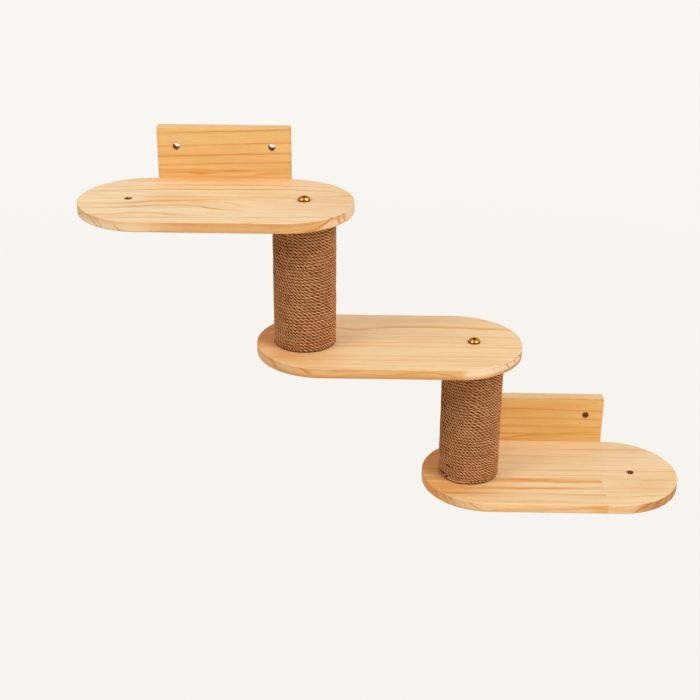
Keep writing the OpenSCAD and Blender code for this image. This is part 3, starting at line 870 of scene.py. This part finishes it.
def winding(node, start_deg, climb_deg, seed, end_deg=0.0):
    """One post's rope, wound upwards from start_deg round the post. It climbs in the last
    climb_deg of each turn. With end_deg, the first stretch is the glued, flattened end."""
    low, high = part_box(node)
    centre = ((low.x + high.x) / 2, (low.y + high.y) / 2)
    outer, radius = (high.x - low.x) / 2, ROPE_D / 2
    height = high.z - low.z
    turns = int(height / ROPE_D)
    pitch = (height - ROPE_D) / (turns - 1)

    random = np.random.default_rng(seed)
    step = np.arange(turns * RINGS_PER_TURN + 1) / RINGS_PER_TURN
    turn = math.radians(start_deg) + 2 * math.pi * step
    level = courses_climbed(step, turns, climb_deg, end_deg)
    inwards, upwards, twist, size = laid_unevenly(random, step, turn, level, turns)
    relief = np.ones_like(step)
    if end_deg:
        upwards, size, relief = with_glued_end(step, level, upwards, size, end_deg)

    angles, reach = section()
    crest, groove = reach.max(), reach.min()
    shape = crest - (crest - reach)[None, :] * relief[:, None]
    around = angles[None, :] + twist[:, None]
    out = radius * size[:, None] * shape * np.cos(around)
    rise = radius * size[:, None] * shape * np.sin(around)
    from_axis = outer - radius + inwards[:, None] + out
    points = np.stack([
        centre[0] + from_axis * np.cos(turn)[:, None],
        centre[1] + from_axis * np.sin(turn)[:, None],
        low.z + radius + pitch * level[:, None] + upwards[:, None] + rise,
    ], axis=-1)
    points[..., 2] = np.clip(points[..., 2], low.z, high.z)

    lift = (reach - groove) / (crest - groove)
    lift = 1 - (1 - lift)[None, :] * relief[:, None]
    # painted shade: lift is lower on the side that faces the post, between the courses
    facing_out = smooth_step(np.cos(around) * 1.5 + 0.05)
    lift = lift * (INNER_SIDE_LIFT + OUTER_SIDE_MORE * facing_out)
    # painted contact shadow: lift falls off at the post's foot
    lift = np.minimum(lift, (points[..., 2] - low.z - SHADED_FOOT) / SHADED_FOOT_FADE)
    return points, lift, turns


# %% [markdown]
# Neighbouring rings are joined by four-sided faces, and the two ends are closed. The
# tube gets two maps. One lays each course of the rope out as a row of its own, so that
# every face has its own place in a picture. The other one is for the finish: it counts
# the turns along the rope, and goes from 0 to 1 round it.

# %% The rope's mesh
def rope_mesh(name, points, lift, turns):
    """A closed tube through the rings, with a map for its length and its girth."""
    rings, sides = points.shape[:2]
    ring = np.repeat(np.arange(rings - 1), sides)
    side = np.tile(np.arange(sides), rings - 1)
    after = (side + 1) % sides
    faces = np.stack([ring * sides + side, ring * sides + after,
                      (ring + 1) * sides + after, (ring + 1) * sides + side], axis=1)
    last = (rings - 1) * sides
    caps = [list(range(sides))[::-1], list(range(last, last + sides))]
    mesh = bpy.data.meshes.new(name)
    mesh.from_pydata(points.reshape(-1, 3).tolist(), [], faces.tolist() + caps)

    course, place = ring // RINGS_PER_TURN, ring % RINGS_PER_TURN
    start, end = place / RINGS_PER_TURN, (place + 1) / RINGS_PER_TURN
    girth = np.stack([side, side + 1, side + 1, side], axis=1) / sides
    length = np.stack([start, start, end, end], axis=1)
    bake = np.stack([length, (course[:, None] + girth) / turns], axis=-1).reshape(-1, 2)
    lay = np.stack([length + course[:, None], girth], axis=-1).reshape(-1, 2)
    for map_name, places in (("OFBake", bake), ("lay", lay)):
        layer = mesh.uv_layers.new(name=map_name)
        ends = np.zeros((2 * sides, 2))
        layer.uv.foreach_set("vector", np.concatenate([places, ends]).astype(np.float32).ravel())
    height = mesh.attributes.new("lift", "FLOAT", "POINT")
    height.data.foreach_set("value", lift.astype(np.float32).ravel())
    mesh.shade_smooth()
    rope = bpy.data.objects.new(name, mesh)
    bpy.context.scene.collection.objects.link(rope)
    return rope


# %% [markdown]
# The fibres lie nearly along the rope. Their colour changes from fibre to fibre and from
# one length of yarn to the next. The grooves between the strands are darker than the
# light alone makes them: partly oil and dust that keep to the grooves, and partly
# painted shade, which also darkens the side that faces the post and the post's foot.

# %% The rope's finish
BROWN_YARN, PALE_YARN = colour(201, 137, 85), colour(231, 168, 112)
DARK_HAIR, BRIGHT_HAIR = colour(150, 88, 44), colour(255, 220, 172)
GROOVE_SHADE_AND_DUST = colour(92, 34, 6)


def rope_finish():
    """Brown yarn with dark and bright hairs, and painted shade with some dust in the grooves."""
    finish = Finish("laid_rope", roughness=0.9, Specular_IOR_Level=0.0)
    turn, around, _ = finish.split(finish.node("ShaderNodeUVMap", {"uv_map": "lay"}))
    along, girth = turn * TURN_MM, around * GIRTH_MM
    lift = finish.node("ShaderNodeAttribute", {"attribute_name": "lift"}).out("Fac")
    strand = (around * STRANDS).whole()

    slow = finish.noise(finish.vector(along / 42, strand * 7.3, 0.0), detail=2.0)
    fibres = finish.noise(finish.vector(along / 3.0, girth / 0.22, strand * 3.1), detail=2.0)
    yarn = finish.mix(BROWN_YARN, PALE_YARN, slow.between(0.34, 0.66))
    yarn = finish.mix(yarn, DARK_HAIR, fibres.between(0.52, 0.76, 0.0, 0.50))
    yarn = finish.mix(yarn, BRIGHT_HAIR, fibres.between(0.46, 0.28, 0.0, 0.60))
    # painted shade, with some dust, darkens the yarn where lift is low
    yarn = finish.mix(yarn, GROOVE_SHADE_AND_DUST, lift.between(0.60, 0.14, 0.0, 0.97))
    finish.surface(Base_Color=yarn)
    finish.bumps(fibres, 0.16 * MM, strength=0.9)
    return finish.material


rope_material = rope_finish()
for node, start_deg, climb_deg, seed, end_deg in (
    ("upper_post_rope", 150, 90, 11, 0),
    ("lower_post_rope", 222, 52, 12, 41),
):
    points, lift, turns = winding(node, start_deg, climb_deg, seed, end_deg)
    rope = rope_mesh(node + "_laid", points, lift, turns)
    rope.data.materials.append(rope_material)
    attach(rope, "root")
    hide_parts(node)
    middle = points.mean(axis=1)
    metres = np.linalg.norm(np.diff(middle, axis=0), axis=1).sum()
    print(rope.name, turns, "turns,", round(metres, 2), "m,", len(rope.data.polygons), "faces")

# %% [markdown]
# ## Brass
#
# The screws' heads are brass plated and polished. A polished metal shows what stands
# round it more than its own colour, so it needs a real shape, which the frame's heads
# have, and lamps to mirror. Handling leaves it a little less even than new: a low noise
# changes its gloss. The recess and the head's outer rim are darker, as painted shade.

# %% Brass for the machine screws
POLISHED, SMEARED = colour(208, 152, 92), colour(172, 114, 60)
# the painted shade of the head's outer rim and of the recess
HEAD_RIM_SHADE, RECESS_SHADE = colour(112, 66, 24), colour(60, 26, 4)
EDGE_TINT = (0.95, 0.56, 0.28, 1.0)
HEAD_RIM_MM = (7.8, 8.5)
ARM_SIDE_MM, ARM_TIP_MM = (1.9, 1.2), (4.5, 3.8)


def brass_finish(node):
    """Brass for one machine screw. Its recess is a cross with arms along X and Y."""
    finish = Finish(node + "_brass", roughness=0.15, Metallic=1.0, Specular_Tint=EDGE_TINT)
    low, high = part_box(node)
    point = finish.place()
    x, y, _ = finish.split(point)
    from_x = abs(x - (low.x + high.x) / 2) / MM
    from_y = abs(y - (low.y + high.y) / 2) / MM
    in_arms = from_x.at_most(from_y).between(*ARM_SIDE_MM) * from_x.at_least(from_y).between(*ARM_TIP_MM)
    rim = ((from_x ** 2 + from_y ** 2) ** 0.5).between(*HEAD_RIM_MM)

    smears = finish.noise(point * (1 / (4 * MM)), detail=3.0)
    grain = finish.noise(point * (1 / (0.5 * MM)), detail=1.0)
    brass = finish.mix(POLISHED, SMEARED, smears.between(0.38, 0.66))
    # painted shade on the head's outer rim and in the recess
    brass = finish.mix(brass, HEAD_RIM_SHADE, rim * 0.75)
    brass = finish.mix(brass, RECESS_SHADE, in_arms * 0.9)
    finish.surface(Base_Color=brass, Roughness=smears * 0.08 + grain * 0.04 + 0.05 + in_arms * 0.3)
    return finish.material


for node in nodes:
    if node.endswith("_bolt"):
        dress(node, brass_finish(node))
print("brass on", sum(n.endswith("_bolt") for n in nodes), "machine screws")

# %% [markdown]
# ## What the ladder hides
#
# The tube, the end plugs, the T-nuts, the staples and the wood screws hardly show, but
# they are part of the model and are seen when it is taken apart, so each has a finish of
# its own: spiral-wound card, plywood with its plies, and zinc.

# %% Card, plywood and zinc
def card_finish():
    finish = Finish("spiral_card", roughness=0.9)
    point = finish.place()
    x, _, z = finish.split(point)
    fibre = finish.noise(point * (1 / (1.2 * MM)), detail=4.0)
    seam = (z / (62 * MM) + x / (250 * MM)).part()
    card = finish.mix(colour(128, 94, 62), colour(104, 74, 46), fibre.between(0.35, 0.65))
    card = finish.mix(card, colour(78, 52, 32), seam.between(0.03, 0.0, 0.0, 0.7))
    finish.surface(Base_Color=card)
    finish.bumps(fibre, 0.1 * MM, strength=0.5)
    return finish.material


def plywood_finish():
    finish = Finish("sawn_plywood", roughness=0.75)
    point = finish.place()
    x, y, z = finish.split(point)
    ply = (z / (2.6 * MM)).whole()
    other = (ply * 0.5).part() * 2
    grain = finish.noise(finish.vector(x / (9 * MM), y / (0.8 * MM), ply), detail=3.0)
    pores = finish.noise(point * (1 / (0.5 * MM)), detail=2.0)
    wood = finish.mix(colour(222, 188, 142), colour(186, 142, 94), grain.between(0.35, 0.7))
    wood = finish.mix(wood, colour(170, 124, 80), other * pores)
    finish.surface(Base_Color=wood)
    finish.bumps(grain, 0.1 * MM, strength=0.6)
    return finish.material


def zinc_finish(name, bright, dull):
    finish = Finish(name, roughness=0.3, Metallic=1.0)
    spangle = finish.noise(finish.place() * (1 / (1.6 * MM)), detail=3.0)
    finish.surface(
        Base_Color=finish.mix(bright, dull, spangle.between(0.35, 0.65)),
        Roughness=spangle * 0.3 + 0.2,
    )
    return finish.material


hidden = {
    "_tube": card_finish(),
    "_plug": plywood_finish(),
    "_nut": zinc_finish("blue_zinc", colour(196, 200, 206), colour(160, 166, 174)),
    "_staples": zinc_finish("galvanised_wire", colour(190, 190, 188), colour(150, 150, 150)),
    "_board_screws": zinc_finish("yellow_zinc", colour(214, 190, 122), colour(180, 150, 84)),
}
for ending, material in hidden.items():
    wearing = [n for n in nodes if n.endswith(ending)]
    for node in wearing:
        dress(node, material)
    print(material.name, "on", len(wearing), "pieces")

# %% [markdown]
# ## The studio
#
# The photograph has an even, near-white ground and soft light, most of it from above
# and from the right. A softbox there and a smaller one on the left also make the two
# bright spots on each brass head, and a low one in front keeps the edges light. The
# floor lies well below the ladder, as a room's floor does below a piece on the wall. A
# camera ray sees mostly a steady pale tone there, so that the ground is even however
# the lamps fall off, and partly the lit floor, which keeps the shadow. Far off, the floor
# turns into the sky's tone, so that no horizon shows. Rays that mirror in brass see the
# same. All other rays get the plain light of the world and the lamps, which is set so
# that a colour on top of a shelf renders about as it is written.

# %% Floor and world
FLOOR_Z = -2.6
FLOOR_HALF = 24.0
GROUND_NEAR = colour(250, 246, 241)
GROUND_FAR = colour(253, 251, 248)
STEADY_SHARE = 0.94


def seen_directly(finish):
    """1 for rays from the camera, and for those that a mirror or a glass sends on."""
    rays = finish.node("ShaderNodeLightPath")
    seen = rays.out("Is Camera Ray") + rays.out("Is Glossy Ray") + rays.out("Is Transmission Ray")
    return seen.at_most(1.0)


def floor_finish():
    finish = Finish("pale_floor", roughness=0.9, Base_Color=(0.86, 0.85, 0.84, 1))
    x, y, _ = finish.split(finish.place())
    away = (x ** 2 + y ** 2) ** 0.5
    ground = finish.mix(GROUND_NEAR, GROUND_FAR, away.between(1.0, 12.0))
    steadiness = seen_directly(finish) * away.between(15.0, 22.0, STEADY_SHARE, 1.0)
    steady = finish.node("ShaderNodeEmission", None, {"Color": ground, "Strength": 1.0})
    lit = Wire(finish, finish.shader.outputs[0])
    both = finish.node("ShaderNodeMixShader", None, {0: steadiness, 1: lit, 2: steady})
    finish.feed(finish.tree.nodes["Material Output"].inputs["Surface"], both)
    return finish.material


def make_floor():
    corners = [(x * FLOOR_HALF, y * FLOOR_HALF, FLOOR_Z) for x, y in ((-1, -1), (1, -1), (1, 1), (-1, 1))]
    mesh = bpy.data.meshes.new("floor")
    mesh.from_pydata(corners, [], [(0, 1, 2, 3)])
    floor = bpy.data.objects.new("floor", mesh)
    bpy.context.scene.collection.objects.link(floor)
    mesh.materials.append(floor_finish())
    return floor


floor = make_floor()
print("floor", FLOOR_HALF * 2, "m wide at z", FLOOR_Z)

# %% The sky behind the floor's edge
SKY_LIGHT = 0.40


class Sky(Finish):
    """The world's own net of nodes."""

    def __init__(self, name):
        self.world = bpy.data.worlds.new(name)
        self.world.use_nodes = True
        self.tree = self.world.node_tree
        self.shader = self.tree.nodes["Background"]


sky = Sky("studio")
sky.surface(Color=GROUND_FAR, Strength=seen_directly(sky) * (1.0 - SKY_LIGHT) + SKY_LIGHT)
bpy.context.scene.world = sky.world
print("sky:", SKY_LIGHT, "as light, 1.0 as seen")

# %% Lamps
def softbox(name, place, target, size, watts):
    """A rectangular lamp at place that faces target."""
    lamp = bpy.data.lights.new(name, "AREA")
    lamp.shape = "RECTANGLE"
    lamp.size, lamp.size_y = size
    lamp.energy = watts
    stand = bpy.data.objects.new(name, lamp)
    bpy.context.scene.collection.objects.link(stand)
    stand.location = place
    stand.rotation_mode = "QUATERNION"
    stand.rotation_quaternion = (Vector(target) - Vector(place)).to_track_quat("-Z", "Y")
    return stand


low, high = cad_box
middle = (low + high) / 2
softbox("key_softbox", middle + Vector((2.2, -1.4, 2.5)), middle, (1.8, 1.8), 69)
softbox("left_softbox", middle + Vector((-2.0, -1.3, 1.8)), middle, (1.2, 1.2), 26)
softbox("low_softbox", middle + Vector((0.5, -2.2, -0.6)), middle, (1.6, 1.2), 12)

# %% [markdown]
# ## Finish
#
# The view transform is Standard, so that colours come out as written.

# %% Set the view transform
bpy.context.scene.view_settings.view_transform = "Standard"
